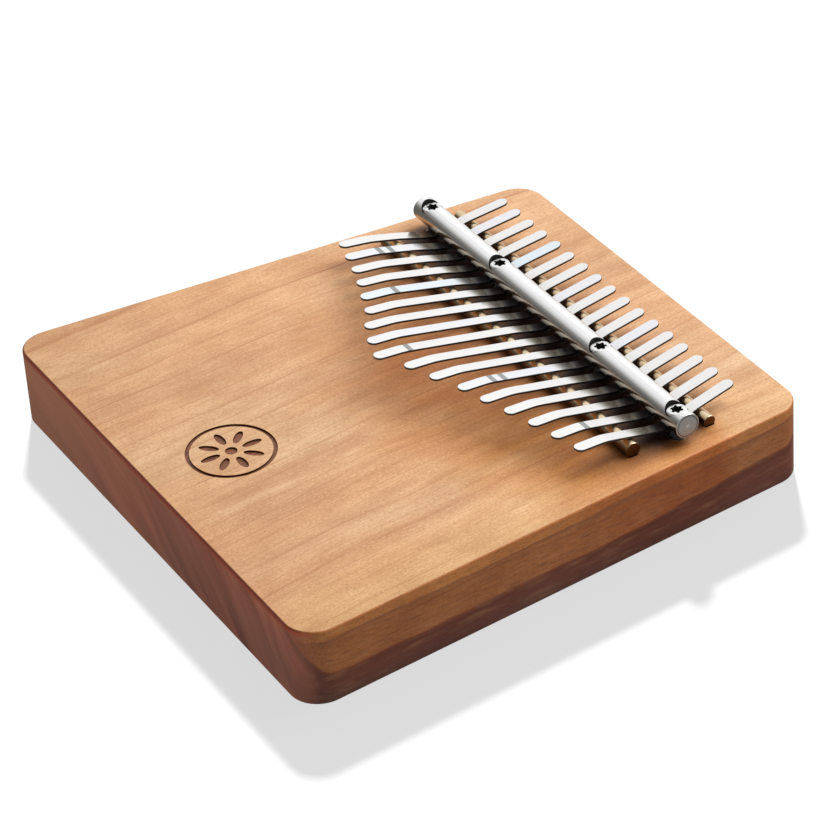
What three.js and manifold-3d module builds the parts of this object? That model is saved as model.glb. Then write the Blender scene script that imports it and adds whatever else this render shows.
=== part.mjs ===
// A 17-tine board kalimba (a modern mbira). Millimetres, +Z up.
// Origin: centre of the board's underside. +Y points away from the player, so the tines are plucked
// at their -Y ends. +X is the player's right. Spring steel tines rise over a front and a rear bridge
// rod and are held down between them by a round pressure bar with four screws.

import * as THREE from 'three';
import { mergeVertices } from 'three/addons/utils/BufferGeometryUtils.js';
import Module from 'manifold-3d';

const wasm = await Module();
wasm.setup();

// ---- driving dimensions ------------------------------------------------------------------------

const GAP = 0.3;                 // clearance left between pieces that touch on the real object

const BOARD_LENGTH = 180;        // along Y
const BOARD_WIDTH_PLAYER = 185;  // at the player's end, -Y
const BOARD_WIDTH_FAR = 155;     // at the bridge end, +Y
const BOARD_THICK = 25.7;
const BOARD_CORNER_R = 9.5;      // vertical corners
const BOARD_EDGE_R = 0.8;        // rounding all round the top and bottom edges

const FRONT_ROD_R = 2.5;
const FRONT_ROD_Y = 33.4;
const FRONT_ROD_SUNK = 0.5;      // how deep the rod lies in its seat
const REAR_ROD_R = 2;
const REAR_ROD_Y = 60.3;
const REAR_ROD_SUNK = 0.7;
const ROD_LENGTH = 142.5;
const ROD_CHAMFER = 0.3;

const BAR_R = 4;
const BAR_LENGTH = 150.6;
const BAR_Y = 49.8;
const BAR_Z = 32.0;              // height of the bar's axis
const BAR_CHAMFER = 0.3;

const TINE_COUNT = 17;
const TINE_WIDTH = 4;
const TINE_THICK = 0.7;
const TINE_PITCH = 8.2;          // spacing at the pressure bar
const FAN_APEX_Y = 740;          // the tines fan out towards the player from a point far behind
const REAR_TIP_Y = 73.6;
const FRONT_RISE = THREE.MathUtils.degToRad(12);     // slope from the front bridge to the bend
const EXTRA_RISE = THREE.MathUtils.degToRad(3.6);    // more slope at the last tine on the right
const TIP_RISE = THREE.MathUtils.degToRad(5);        // slope of the plucked end after the bend
const REAR_RISE = THREE.MathUtils.degToRad(9.1);     // slope of the tail behind the rear bridge
const BEND_FROM_TIP = 10;        // middle of the bend, from the plucked tip
const BEND_HALF = 2;             // half the length of the bend
const BLADE_STEP = 3;            // spacing of the cross-sections that follow the blade's curve
const TANGENT_STEP = 0.05;       // half the step over which the blade's direction is taken
const END_ANGLES = [15, 32, 50, 70].map(THREE.MathUtils.degToRad);   // sections of a half-round end

// Y of each plucked tip, from the player's left to right: the longest, lowest note is in the middle.
const TINE_TIP_Y = [15, 12.5, 10, 7, 3.5, 0, -5, -9, -12, -6.5, -3, 1.5, 4, 7, 10, 12.5, 15];

const SCREW_X = [-8.5, -3.5, 3.5, 8.5].map((pitches) => pitches * TINE_PITCH);
const SCREW_HEAD_R = 3.2;
const SCREW_HEAD_HEIGHT = 2.2;
const SCREW_HEAD_CROWN = 0.5;    // height and width of the rounded shoulder of the head
const SCREW_HEAD_KNEE = [0.15, 0.2];   // where the shoulder turns: in from the side, down from the top
const SCREW_HEAD_SUNK = 1.1;     // head top below the top of the bar
const SCREW_R = 2;               // M4
const SCREW_TIP_DEPTH = 9;       // below the board's top
const SCREW_TIP_CHAMFER = 0.5;
const RECESS_R = 1.95;           // six-lobe recess, size 20, to the lobe tips
const RECESS_LOBE_R = 0.55;
const RECESS_CORE_R = 1.45;
const RECESS_LOBES = 6;
const RECESS_DEPTH = 1.5;
const COUNTERBORE_R = 3.5;

const INSERT_R = 3;              // threaded insert in the board
const INSERT_LENGTH = 10;

const MARK_Y = -62;              // centre of the engraved rosette near the player's end
const MARK_DEPTH = 0.6;
const MARK_PETALS = 8;
const MARK_PETAL_LENGTH = 6.4;
const MARK_PETAL_WIDTH = 2.6;
const MARK_PETAL_FROM = 3.8;     // inner end of a petal, from the centre
const MARK_DOT_R = 1.9;
const MARK_RING_R = 13.2;
const MARK_RING_WIDTH = 1.3;

const CUT_PAST = 1;              // how far a cutting tool stands past the face it opens
const SIDES = {
  rod: 24, bar: 36, counterbore: 28, shank: 16, head: 24, insert: 20, ring: 36, dot: 16, petal: 12,
};
const RECESS_SIDES = { core: 18, lobe: 8 };

// ---- materials ---------------------------------------------------------------------------------

const finish = (color, roughness, metalness) =>
  new THREE.MeshStandardMaterial({ color, roughness, metalness });
const CHERRY = finish(0xd9a57a, 0.55, 0);
const BAR_STEEL = finish(0xc9cac8, 0.35, 1);
const TINE_STEEL = finish(0xe6e8ea, 0.15, 1);
const SCREW_STEEL = finish(0xb9bbbd, 0.3, 1);
const BRASS = finish(0xb58a4a, 0.35, 1);

// ---- helpers -----------------------------------------------------------------------------------

function solid(geometry) {
  const plain = geometry.clone();
  plain.deleteAttribute('normal');
  plain.deleteAttribute('uv');
  const merged = mergeVertices(plain, 1e-4);
  return new wasm.Manifold(new wasm.Mesh({
    numProp: 3,
    vertProperties: Float32Array.from(merged.attributes.position.array),
    triVerts: Uint32Array.from(merged.index.array),
  }));
}

function geometryOf(manifold) {
  const mesh = manifold.getMesh();
  const geometry = new THREE.BufferGeometry();
  geometry.setAttribute('position', new THREE.BufferAttribute(mesh.vertProperties, 3));
  geometry.setIndex(new THREE.BufferAttribute(mesh.triVerts, 1));
  geometry.computeVertexNormals();
  return geometry;
}

function cut(geometry, tools) {
  let body = solid(geometry);
  for (const tool of tools) {
    body = body.subtract(solid(tool));
  }
  return geometryOf(body);
}

// A round solid along Z from its profile of [radius, z] points.
function turned(profile, sides) {
  return new THREE.LatheGeometry(profile.map(([r, z]) => new THREE.Vector2(r, z)), sides)
    .rotateX(Math.PI / 2);
}

// A cylinder along Z, from z = bottom to z = top.
function post(radius, bottom, top, sides) {
  return new THREE.CylinderGeometry(radius, radius, top - bottom, sides)
    .rotateX(Math.PI / 2)
    .translate(0, 0, (top + bottom) / 2);
}

// A round rod along X with chamfered ends, centred on the origin.
function rodGeometry(radius, length, chamfer, sides) {
  const half = length / 2;
  const profile = [
    [0, -half], [radius - chamfer, -half], [radius, -half + chamfer],
    [radius, half - chamfer], [radius - chamfer, half], [0, half],
  ];
  return turned(profile, sides).rotateY(Math.PI / 2);
}

function piece(name, geometry, material) {
  const mesh = new THREE.Mesh(geometry, material);
  mesh.name = name;
  return mesh;
}

const number = (index) => String(index + 1).padStart(2, '0');

// ---- bridges -----------------------------------------------------------------------------------

const FRONT_ROD_Z = BOARD_THICK + FRONT_ROD_R - FRONT_ROD_SUNK;
const REAR_ROD_Z = BOARD_THICK + REAR_ROD_R - REAR_ROD_SUNK;

function bridgeRod(name, radius, y, z) {
  const rod = piece(name, rodGeometry(radius, ROD_LENGTH, ROD_CHAMFER, SIDES.rod), BRASS);
  rod.position.set(0, y, z);
  return rod;
}

// ---- board -------------------------------------------------------------------------------------

// The plan outline: a trapezoid with round corners.
function boardOutline() {
  const far = BOARD_WIDTH_FAR / 2;
  const near = BOARD_WIDTH_PLAYER / 2;
  const half = BOARD_LENGTH / 2;
  const corners = [[-near, -half], [near, -half], [far, half], [-far, half]]
    .map(([x, y]) => new THREE.Vector2(x, y));
  const outline = new THREE.Shape();
  corners.forEach((corner, i) => {
    const back = corners[(i + 3) % 4].clone().sub(corner).normalize();
    const on = corners[(i + 1) % 4].clone().sub(corner).normalize();
    const halfAngle = Math.acos(back.dot(on)) / 2;
    const middle = back.clone().add(on).normalize()
      .multiplyScalar(BOARD_CORNER_R / Math.sin(halfAngle)).add(corner);
    const setback = BOARD_CORNER_R / Math.tan(halfAngle);
    const from = back.clone().multiplyScalar(setback).add(corner).sub(middle);
    const to = on.clone().multiplyScalar(setback).add(corner).sub(middle);
    outline.absarc(middle.x, middle.y, BOARD_CORNER_R, from.angle(), to.angle(), false);
  });
  return outline;
}

// Engraved ornament: a ring, a dot and a ring of petals, all sunk into the top.
function markTools() {
  const top = BOARD_THICK + CUT_PAST;
  const bottom = BOARD_THICK - MARK_DEPTH;
  const inner = MARK_RING_R - MARK_RING_WIDTH / 2;
  const outer = MARK_RING_R + MARK_RING_WIDTH / 2;
  const ringProfile = [[inner, bottom], [outer, bottom], [outer, top], [inner, top], [inner, bottom]];
  const ring = turned(ringProfile, SIDES.ring);
  const dot = post(MARK_DOT_R, bottom, top, SIDES.dot);
  const tools = [ring, dot];
  for (let i = 0; i < MARK_PETALS; i += 1) {
    const petal = post(1, bottom, top, SIDES.petal)
      .scale(MARK_PETAL_LENGTH / 2, MARK_PETAL_WIDTH / 2, 1)
      .translate(MARK_PETAL_FROM + MARK_PETAL_LENGTH / 2, 0, 0)
      .rotateZ((i * 2 * Math.PI) / MARK_PETALS);
    tools.push(petal);
  }
  return tools.map((tool) => tool.translate(0, MARK_Y, 0));
}

function board() {
  const blank = new THREE.ExtrudeGeometry(boardOutline(), {
    depth: BOARD_THICK - 2 * BOARD_EDGE_R,
    bevelEnabled: true,
    bevelThickness: BOARD_EDGE_R,
    bevelSize: BOARD_EDGE_R,
    bevelOffset: -BOARD_EDGE_R,
    bevelSegments: 2,
    curveSegments: 8,
  }).translate(0, 0, BOARD_EDGE_R);
  const seatLength = ROD_LENGTH + 2 * GAP;
  const frontSeat = rodGeometry(FRONT_ROD_R + GAP, seatLength, ROD_CHAMFER, SIDES.rod)
    .translate(0, FRONT_ROD_Y, FRONT_ROD_Z);
  const rearSeat = rodGeometry(REAR_ROD_R + GAP, seatLength, ROD_CHAMFER, SIDES.rod)
    .translate(0, REAR_ROD_Y, REAR_ROD_Z);
  const insertHoles = SCREW_X.map((x) =>
    post(INSERT_R + GAP, BOARD_THICK - INSERT_LENGTH - 2 * GAP, BOARD_THICK + CUT_PAST, SIDES.insert)
      .translate(x, BAR_Y, 0));
  return piece('body_board', cut(blank, [frontSeat, rearSeat, ...insertHoles, ...markTools()]), CHERRY);
}

// ---- pressure bar, screws and inserts ----------------------------------------------------------

const HEAD_TOP_Z = BAR_Z + BAR_R - SCREW_HEAD_SUNK;
const HEAD_SEAT_Z = HEAD_TOP_Z - SCREW_HEAD_HEIGHT;

function pressureBar() {
  const blank = rodGeometry(BAR_R, BAR_LENGTH, BAR_CHAMFER, SIDES.bar).translate(0, BAR_Y, BAR_Z);
  const tools = SCREW_X.flatMap((x) => [
    post(COUNTERBORE_R, HEAD_SEAT_Z - GAP, BAR_Z + BAR_R + CUT_PAST, SIDES.counterbore)
      .translate(x, BAR_Y, 0),
    post(SCREW_R + GAP, BAR_Z - BAR_R - CUT_PAST, HEAD_SEAT_Z, SIDES.shank).translate(x, BAR_Y, 0),
  ]);
  return piece('pressure_bar', cut(blank, tools), BAR_STEEL);
}

// The six-lobe driver recess, open at the top of the head.
function lobeRecess() {
  const bottom = -RECESS_DEPTH;
  let recess = solid(post(RECESS_CORE_R, bottom, CUT_PAST, RECESS_SIDES.core));
  for (let i = 0; i < RECESS_LOBES; i += 1) {
    const lobe = post(RECESS_LOBE_R, bottom, CUT_PAST, RECESS_SIDES.lobe)
      .translate(RECESS_R - RECESS_LOBE_R, 0, 0)
      .rotateZ((i * 2 * Math.PI) / RECESS_LOBES);
    recess = recess.add(solid(lobe));
  }
  return recess;
}

// Origin at the middle of the head's top.
function screwGeometry() {
  const tip = BOARD_THICK - SCREW_TIP_DEPTH - HEAD_TOP_Z;
  const [kneeIn, kneeDown] = SCREW_HEAD_KNEE;
  const profile = [
    [0, tip], [SCREW_R - SCREW_TIP_CHAMFER, tip], [SCREW_R, tip + SCREW_TIP_CHAMFER],
    [SCREW_R, -SCREW_HEAD_HEIGHT], [SCREW_HEAD_R, -SCREW_HEAD_HEIGHT],
    [SCREW_HEAD_R, -SCREW_HEAD_CROWN], [SCREW_HEAD_R - kneeIn, -kneeDown],
    [SCREW_HEAD_R - SCREW_HEAD_CROWN, 0], [0, 0],
  ];
  return geometryOf(solid(turned(profile, SIDES.head)).subtract(lobeRecess()));
}

function insertGeometry() {
  const inner = SCREW_R + GAP;
  const profile = [
    [inner, -INSERT_LENGTH], [INSERT_R, -INSERT_LENGTH], [INSERT_R, 0], [inner, 0],
    [inner, -INSERT_LENGTH],
  ];
  return turned(profile, SIDES.insert);
}

function fasteners() {
  return SCREW_X.flatMap((x, i) => {
    const screw = piece(`clamp_screw_${i + 1}`, screwGeometry(), SCREW_STEEL);
    screw.position.set(x, BAR_Y, HEAD_TOP_Z);
    const insert = piece(`threaded_insert_${i + 1}`, insertGeometry(), BRASS);
    insert.position.set(x, BAR_Y, BOARD_THICK);
    return [screw, insert];
  });
}

// ---- tines -------------------------------------------------------------------------------------

const MIDDLE = (TINE_COUNT - 1) / 2;

// The blade's middle surface touches each rod, through half its thickness and the gap, on the side
// that faces the pressure bar.
const STAND_OFF = TINE_THICK / 2 + GAP;
const REAR_CONTACT_Y = REAR_ROD_Y - (REAR_ROD_R + STAND_OFF) * Math.sin(REAR_RISE);
const REAR_CONTACT_Z = REAR_ROD_Z + (REAR_ROD_R + STAND_OFF) * Math.cos(REAR_RISE);
const UNDER_BAR_Z = BAR_Z - BAR_R - STAND_OFF;

// Slope of a tine in front of the front bridge. To the right of the middle it grows evenly.
const frontRise = (index) => FRONT_RISE + EXTRA_RISE * Math.max(0, (index - MIDDLE) / MIDDLE);
const frontContactY = (index) => FRONT_ROD_Y + (FRONT_ROD_R + STAND_OFF) * Math.sin(frontRise(index));
const frontContactZ = (index) => FRONT_ROD_Z + (FRONT_ROD_R + STAND_OFF) * Math.cos(frontRise(index));

// Rise of a blade bent like a spring: level at the bar, `rise` higher and sloping at `slope` after `run`.
function springRise(distance, run, rise, slope) {
  const u = distance / run;
  return rise * (3 * u * u - 2 * u * u * u) + slope * run * (u * u * u - u * u);
}

// Height of a tine's middle surface at y.
function tineHeight(index, y) {
  if (y > REAR_CONTACT_Y) {
    return REAR_CONTACT_Z + Math.tan(REAR_RISE) * (y - REAR_CONTACT_Y);
  }
  if (y > BAR_Y) {
    const run = REAR_CONTACT_Y - BAR_Y;
    return UNDER_BAR_Z + springRise(y - BAR_Y, run, REAR_CONTACT_Z - UNDER_BAR_Z, Math.tan(REAR_RISE));
  }
  const slope = Math.tan(frontRise(index));
  if (y > frontContactY(index)) {
    const run = BAR_Y - frontContactY(index);
    return UNDER_BAR_Z + springRise(BAR_Y - y, run, frontContactZ(index) - UNDER_BAR_Z, slope);
  }
  const straight = frontContactZ(index) + slope * (frontContactY(index) - y);
  const beforeBend = y - (TINE_TIP_Y[index] + BEND_FROM_TIP);
  const intoBend = THREE.MathUtils.clamp(BEND_HALF - beforeBend, 0, 2 * BEND_HALF);
  const pastBend = Math.max(-BEND_HALF - beforeBend, 0);
  const turn = slope - Math.tan(TIP_RISE);
  return straight - turn * (intoBend * intoBend / (4 * BEND_HALF) + pastBend);
}

// A cross-section of the blade: its four corners, where the tine passes y.
function bladeSection(index, y, halfWidth) {
  const fan = ((index - MIDDLE) * TINE_PITCH) / (FAN_APEX_Y - BAR_Y);
  const at = (v) => new THREE.Vector3(fan * (FAN_APEX_Y - v), v, tineHeight(index, v));
  const along = at(y + TANGENT_STEP).sub(at(y - TANGENT_STEP)).normalize();
  const across = new THREE.Vector3(along.y, -along.x, 0).normalize();
  const up = across.clone().cross(along);
  const corner = (side, level) => at(y)
    .addScaledVector(across, side * halfWidth)
    .addScaledVector(up, (level * TINE_THICK) / 2);
  return [corner(-1, -1), corner(1, -1), corner(1, 1), corner(-1, 1)];
}

// The blade from a square end at fromY to a half-round end at toY.
function bladeGeometry(index, fromY, toY) {
  const half = TINE_WIDTH / 2;
  const stations = [];
  const direction = Math.sign(toY - fromY);
  const straightTo = toY - direction * half;
  const steps = Math.max(4, Math.ceil(Math.abs(straightTo - fromY) / BLADE_STEP));
  for (let i = 0; i <= steps; i += 1) {
    stations.push([fromY + ((straightTo - fromY) * i) / steps, half]);
  }
  for (const angle of END_ANGLES.toReversed()) {
    stations.push([toY - direction * half * (1 - Math.cos(angle)), half * Math.sin(angle)]);
  }
  if (direction < 0) {
    stations.reverse();
  }
  const sections = stations.map(([y, width]) => bladeSection(index, y, width));
  const positions = sections.flat().flatMap((p) => [p.x, p.y, p.z]);
  const triangles = [];
  const last = (sections.length - 1) * 4;
  triangles.push(0, 1, 2, 0, 2, 3);
  for (let i = 0; i < last; i += 4) {
    for (let a = 0; a < 4; a += 1) {
      const b = (a + 1) % 4;
      triangles.push(i + a, i + 4 + a, i + b, i + b, i + 4 + a, i + 4 + b);
    }
  }
  triangles.push(last, last + 2, last + 1, last, last + 3, last + 2);
  const geometry = new THREE.BufferGeometry();
  geometry.setAttribute('position', new THREE.Float32BufferAttribute(positions, 3));
  geometry.setIndex(triangles);
  geometry.computeVertexNormals();
  return geometry;
}

// Each tine is one strip of steel. It is split over the front bridge, where the plucked tongue swings.
function tines() {
  return TINE_TIP_Y.flatMap((tipY, i) => [
    piece(`tine_${number(i)}_clamped`,
      bladeGeometry(i, frontContactY(i) + GAP / 2, REAR_TIP_Y), TINE_STEEL),
    piece(`tine_${number(i)}_tongue`,
      bladeGeometry(i, frontContactY(i) - GAP / 2, tipY), TINE_STEEL),
  ]);
}

// ---- assembly ----------------------------------------------------------------------------------

const kalimba = new THREE.Group();
kalimba.add(
  board(),
  bridgeRod('front_bridge_rod', FRONT_ROD_R, FRONT_ROD_Y, FRONT_ROD_Z),
  bridgeRod('rear_bridge_rod', REAR_ROD_R, REAR_ROD_Y, REAR_ROD_Z),
  pressureBar(),
  ...fasteners(),
  ...tines(),
);

export default kalimba;
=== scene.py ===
# A 17-tine board kalimba in Blender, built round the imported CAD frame. Metres, +Z up.
# +Y points away from the player, from the plucked tips to the bridges, and +X is the player's right.

import math

import bmesh
import bpy
from mathutils import Euler, Matrix, Vector


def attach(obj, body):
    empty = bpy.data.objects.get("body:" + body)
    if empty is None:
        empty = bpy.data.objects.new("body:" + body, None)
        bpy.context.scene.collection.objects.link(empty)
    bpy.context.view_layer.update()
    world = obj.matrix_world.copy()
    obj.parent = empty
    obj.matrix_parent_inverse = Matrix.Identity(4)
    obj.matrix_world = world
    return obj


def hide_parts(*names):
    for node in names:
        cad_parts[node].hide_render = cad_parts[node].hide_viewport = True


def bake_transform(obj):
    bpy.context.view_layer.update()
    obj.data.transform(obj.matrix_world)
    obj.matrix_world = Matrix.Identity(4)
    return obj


MM = 0.001

# ---- driving dimensions, in millimetres, as in the CAD model ---------------------------------------

BOARD_LENGTH = 180
BOARD_WIDTH_PLAYER = 185
BOARD_WIDTH_FAR = 155
BOARD_THICK = 25.7
BOARD_CORNER_R = 9.5
BOARD_EDGE_R = 0.75
SEAT_GAP = 0.15

FRONT_ROD = {"radius": 2.5, "y": 33.4, "sunk": 0.5}
REAR_ROD = {"radius": 2.0, "y": 60.3, "sunk": 0.7}
ROD_LENGTH = 142.5

BAR_R = 4
BAR_LENGTH = 150.6
BAR_Y = 49.8
BAR_Z = 32.0

TINE_COUNT = 17
TINE_WIDTH = 4
TINE_THICK = 0.7
TINE_PITCH = 8.2
TINE_EDGE_R = 0.06
FAN_APEX_Y = 740
REAR_TIP_Y = 73.6
FRONT_RISE = math.radians(12)
EXTRA_RISE = math.radians(3.6)
TIP_RISE = math.radians(5)
REAR_RISE = math.radians(9.1)
BEND_FROM_TIP = 10
BEND_HALF = 2
STAND_OFF = TINE_THICK / 2 + 0.3
TINE_TIP_Y = [15, 12.5, 10, 7, 3.5, 0, -5, -9, -12, -6.5, -3, 1.5, 4, 7, 10, 12.5, 15]

SCREW_PITCHES = [-8.5, -3.5, 3.5, 8.5]
SCREW_HEAD_R = 3.2
SCREW_HEAD_HEIGHT = 2.2
SCREW_HEAD_SUNK = 1.1
SCREW_R = 2
THREAD_PITCH = 0.7
THREAD_DEPTH = 0.35
SCREW_TIP_DEPTH = 9
RECESS_R = 1.95
RECESS_WAIST_R = 1.4
RECESS_DEPTH = 1.5
COUNTERBORE_R = 3.5
INSERT_R = 3
INSERT_LENGTH = 10

MARK_Y = -62
MARK_DEPTH = 0.6
MARK_PETALS = 8
MARK_PETAL_LENGTH = 6.4
MARK_PETAL_WIDTH = 2.6
MARK_PETAL_FROM = 3.8
MARK_DOT_R = 1.9
MARK_RING_R = 13.2
MARK_RING_WIDTH = 1.3

# Grey bands painted on some tines: how far each band's middle is from the plucked tip.
BAND_WIDTH = 1.8
FIRST_BAND = 11.7
SECOND_BAND = 15.5
BANDS = {2: [FIRST_BAND, SECOND_BAND], 5: [FIRST_BAND], 9: [FIRST_BAND],
         12: [FIRST_BAND, SECOND_BAND], 16: [FIRST_BAND]}

# ---- camera and light ------------------------------------------------------------------------------

VIEW_AZIMUTH = 61.697
VIEW_ELEVATION = 34.472
VIEW_ROLL = -4.131
VIEW_DISTANCE = 1.14659
VIEW_TARGET = (0.01266, -0.00793, 0.0257)
VIEW_LENS = 168.38

SCREEN_AZIMUTH = 233     # middle of the bright part of the studio
SCREEN_ELEVATION = 30
# Grey level of the studio from directly opposite the screen, at 0, to the screen's middle, at 1.
SCREEN = [(0.0, 0.54), (0.40, 0.34), (0.58, 0.14), (0.70, 0.30), (0.825, 0.75),
          (0.90, 0.92), (0.95, 0.95), (0.975, 1.02), (1.0, 1.12)]
FILL_AZIMUTH = 132       # a dimmer bright patch to the right of the camera
FILL_ELEVATION = 34
FILL_LIGHT = 0.6
FILL_EDGE = 0.6          # cosine of the angle at which the patch has faded out
SOFTBOX_AZIMUTH = 182
SOFTBOX_ELEVATION = 52
SOFTBOX_DISTANCE = 1.9
SOFTBOX_SIZE = 1.42
SOFTBOX_POWER = 38.0
KEY_AZIMUTH = 240.8      # the key lights the floor alone, for the shadow's edge
KEY_ELEVATION = 39.2
KEY_DISTANCE = 9.0
KEY_SIZE = 0.62
KEY_POWER = 14500
FLOOR_GLOW = 0.68
FLOOR_TONE = 0.03
FLOOR_HALF_SIZE = 30000
FLOOR_DROP = 0.2         # keeps the floor clear of the board's underside

# ---- mesh helpers ----------------------------------------------------------------------------------


def new_object(name, verts, faces):
    """A mesh object from points in millimetres."""
    mesh = bpy.data.meshes.new(name)
    mesh.from_pydata([Vector(v) * MM for v in verts], [], faces)
    mesh.validate()
    obj = bpy.data.objects.new(name, mesh)
    bpy.context.scene.collection.objects.link(obj)
    return obj


def tidy_normals(obj):
    work = bmesh.new()
    work.from_mesh(obj.data)
    bmesh.ops.recalc_face_normals(work, faces=work.faces)
    work.to_mesh(obj.data)
    work.free()


def shade(obj, sharp_angle=35):
    """Smooth shading, with edges over sharp_angle degrees kept sharp."""
    limit = math.radians(sharp_angle)
    work = bmesh.new()
    work.from_mesh(obj.data)
    for face in work.faces:
        face.smooth = True
    for edge in work.edges:
        edge.smooth = len(edge.link_faces) == 2 and edge.calc_face_angle(math.pi) < limit
    work.to_mesh(obj.data)
    work.free()
    normals = obj.modifiers.new("weighted_normals", "WEIGHTED_NORMAL")
    normals.mode = "FACE_AREA"
    normals.keep_sharp = True


def skin(rings, closed=True):
    """Points and faces of a body whose cross-sections are rings of the same number of points."""
    count = len(rings[0])
    verts = [point for ring in rings for point in ring]
    faces = []
    for r in range(len(rings) - 1):
        for i in range(count):
            a, b = r * count + i, r * count + (i + 1) % count
            faces.append((a, b, b + count, a + count))
    if closed:
        faces.append(tuple(reversed(range(count))))
        last = (len(rings) - 1) * count
        faces.append(tuple(range(last, last + count)))
    return verts, faces


def lathe(profile, sides):
    """A closed round body about Z from its profile of (radius, z), bottom to top."""
    rings = []
    for radius, z in profile:
        rings.append([(radius * math.cos(t), radius * math.sin(t), z)
                      for t in (2 * math.pi * i / sides for i in range(sides))])
    return skin(rings)


def round_rod(name, radius, length, edge, sides=64, edge_steps=4):
    """A rod along X with rounded edges, centred on the origin."""
    half = length / 2
    profile = []
    for side in (-1, 1):
        steps = range(edge_steps + 1)
        for step in (steps if side < 0 else reversed(steps)):
            t = math.pi / 2 * step / edge_steps
            out = half - edge + edge * math.cos(t)
            profile.append((radius - edge + edge * math.sin(t), side * out))
    verts, faces = lathe(profile, sides)
    turned = [(z, y, -x) for x, y, z in verts]
    return new_object(name, turned, faces)


def shifted(obj, x=0.0, y=0.0, z=0.0):
    obj.data.transform(Matrix.Translation(Vector((x, y, z)) * MM))
    return obj


def cutter(name, profile, sides, place):
    verts, faces = lathe(profile, sides)
    return new_object(name, [(x + place[0], y + place[1], z) for x, y, z in verts], faces)


def cut(obj, tools):
    """Cuts the tools out of obj and deletes them."""
    for tool in tools:
        tidy_normals(tool)
        boolean = obj.modifiers.new("cut", "BOOLEAN")
        boolean.operation = "DIFFERENCE"
        boolean.solver = "EXACT"
        boolean.object = tool
    depsgraph = bpy.context.evaluated_depsgraph_get()
    result = bpy.data.meshes.new_from_object(obj.evaluated_get(depsgraph))
    obj.modifiers.clear()
    obj.data = result
    for tool in tools:
        bpy.data.objects.remove(tool)
    return obj


def finish_piece(obj, material, node):
    """Gives a piece its material and slot, and lets it stand in for a CAD node of the fixed body."""
    obj.data.materials.clear()
    obj.data.materials.append(material)
    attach(obj, "root")
    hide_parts(node)


# ---- material helpers ------------------------------------------------------------------------------


class Tree:
    """A node tree. Each call adds a node and returns its output socket."""

    def __init__(self, tree):
        self.tree = tree

    def add(self, kind, **settings):
        node = self.tree.nodes.new(kind)
        for key, value in settings.items():
            setattr(node, key, value)
        return node

    def feed(self, socket, value):
        if isinstance(value, bpy.types.NodeSocket):
            self.tree.links.new(value, socket)
        else:
            socket.default_value = value

    def math(self, operation, a, b=0.0):
        node = self.add("ShaderNodeMath", operation=operation)
        for socket, value in zip(node.inputs, (a, b)):
            self.feed(socket, value)
        return node.outputs[0]

    def product(self, first, *others):
        """All the values multiplied together."""
        for other in others:
            first = self.math("MULTIPLY", first, other)
        return first

    def away(self, a, b):
        """The length of the vector (a, b)."""
        squares = self.math("ADD", self.math("MULTIPLY", a, a), self.math("MULTIPLY", b, b))
        return self.math("SQRT", squares)

    def place(self):
        """x, y and z in millimetres."""
        coordinates = self.add("ShaderNodeTexCoord")
        scale = self.add("ShaderNodeVectorMath", operation="SCALE")
        self.feed(scale.inputs[0], coordinates.outputs["Object"])
        scale.inputs["Scale"].default_value = 1 / MM
        split = self.add("ShaderNodeSeparateXYZ")
        self.feed(split.inputs[0], scale.outputs[0])
        return split.outputs

    def vector(self, x, y, z):
        node = self.add("ShaderNodeCombineXYZ")
        for socket, value in zip(node.inputs, (x, y, z)):
            self.feed(socket, value)
        return node.outputs[0]

    def noise(self, place, scale, detail=2.0, roughness=0.5):
        """Noise from 0 to 1, with scale as three lengths in millimetres."""
        vector = self.vector(*[self.math("DIVIDE", p, s) for p, s in zip(place, scale)])
        node = self.add("ShaderNodeTexNoise")
        self.feed(node.inputs["Vector"], vector)
        node.inputs["Scale"].default_value = 1.0
        node.inputs["Detail"].default_value = detail
        node.inputs["Roughness"].default_value = roughness
        return node.outputs["Fac"]

    def remap(self, value, low, high, to_low=0.0, to_high=1.0):
        """value moved linearly from low..high to to_low..to_high, and held there outside it."""
        node = self.add("ShaderNodeMapRange", clamp=True)
        for socket, number in zip(node.inputs, (value, low, high, to_low, to_high)):
            self.feed(socket, number)
        return node.outputs[0]

    def ramp(self, value, stops):
        node = self.add("ShaderNodeValToRGB")
        elements = node.color_ramp.elements
        while len(elements) < len(stops):
            elements.new(0.5)
        for element, (position, color) in zip(elements, stops):
            element.position = position
            element.color = (*color, 1)
        self.feed(node.inputs[0], value)
        return node.outputs[0]

    def mix(self, amount, a, b, blend="MIX"):
        node = self.add("ShaderNodeMix", data_type="RGBA", blend_type=blend)
        self.feed(node.inputs["Factor"], amount)
        for socket, value in ((node.inputs[6], a), (node.inputs[7], b)):
            self.feed(socket, (*value, 1) if isinstance(value, tuple) else value)
        return node.outputs[2]

    def tint(self, amount, color, by):
        """The color multiplied by another, as far as amount says."""
        return self.mix(amount, color, self.mix(1.0, color, by, "MULTIPLY"))

    def bump(self, height, distance):
        """Relief of a height map whose full height is distance in millimetres."""
        node = self.add("ShaderNodeBump")
        node.inputs["Strength"].default_value = 1.0
        node.inputs["Distance"].default_value = distance * MM
        self.feed(node.inputs["Height"], height)
        return node.outputs[0]


class Nodes(Tree):
    """One material's node tree."""

    def __init__(self, name):
        self.material = bpy.data.materials.new(name)
        self.material.use_nodes = True
        super().__init__(self.material.node_tree)
        self.shader = self.tree.nodes["Principled BSDF"]

    def set(self, **sockets):
        for name, value in sockets.items():
            self.feed(self.shader.inputs[name.replace("_", " ")], value)
        return self.material


# ---- wood ------------------------------------------------------------------------------------------

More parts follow.
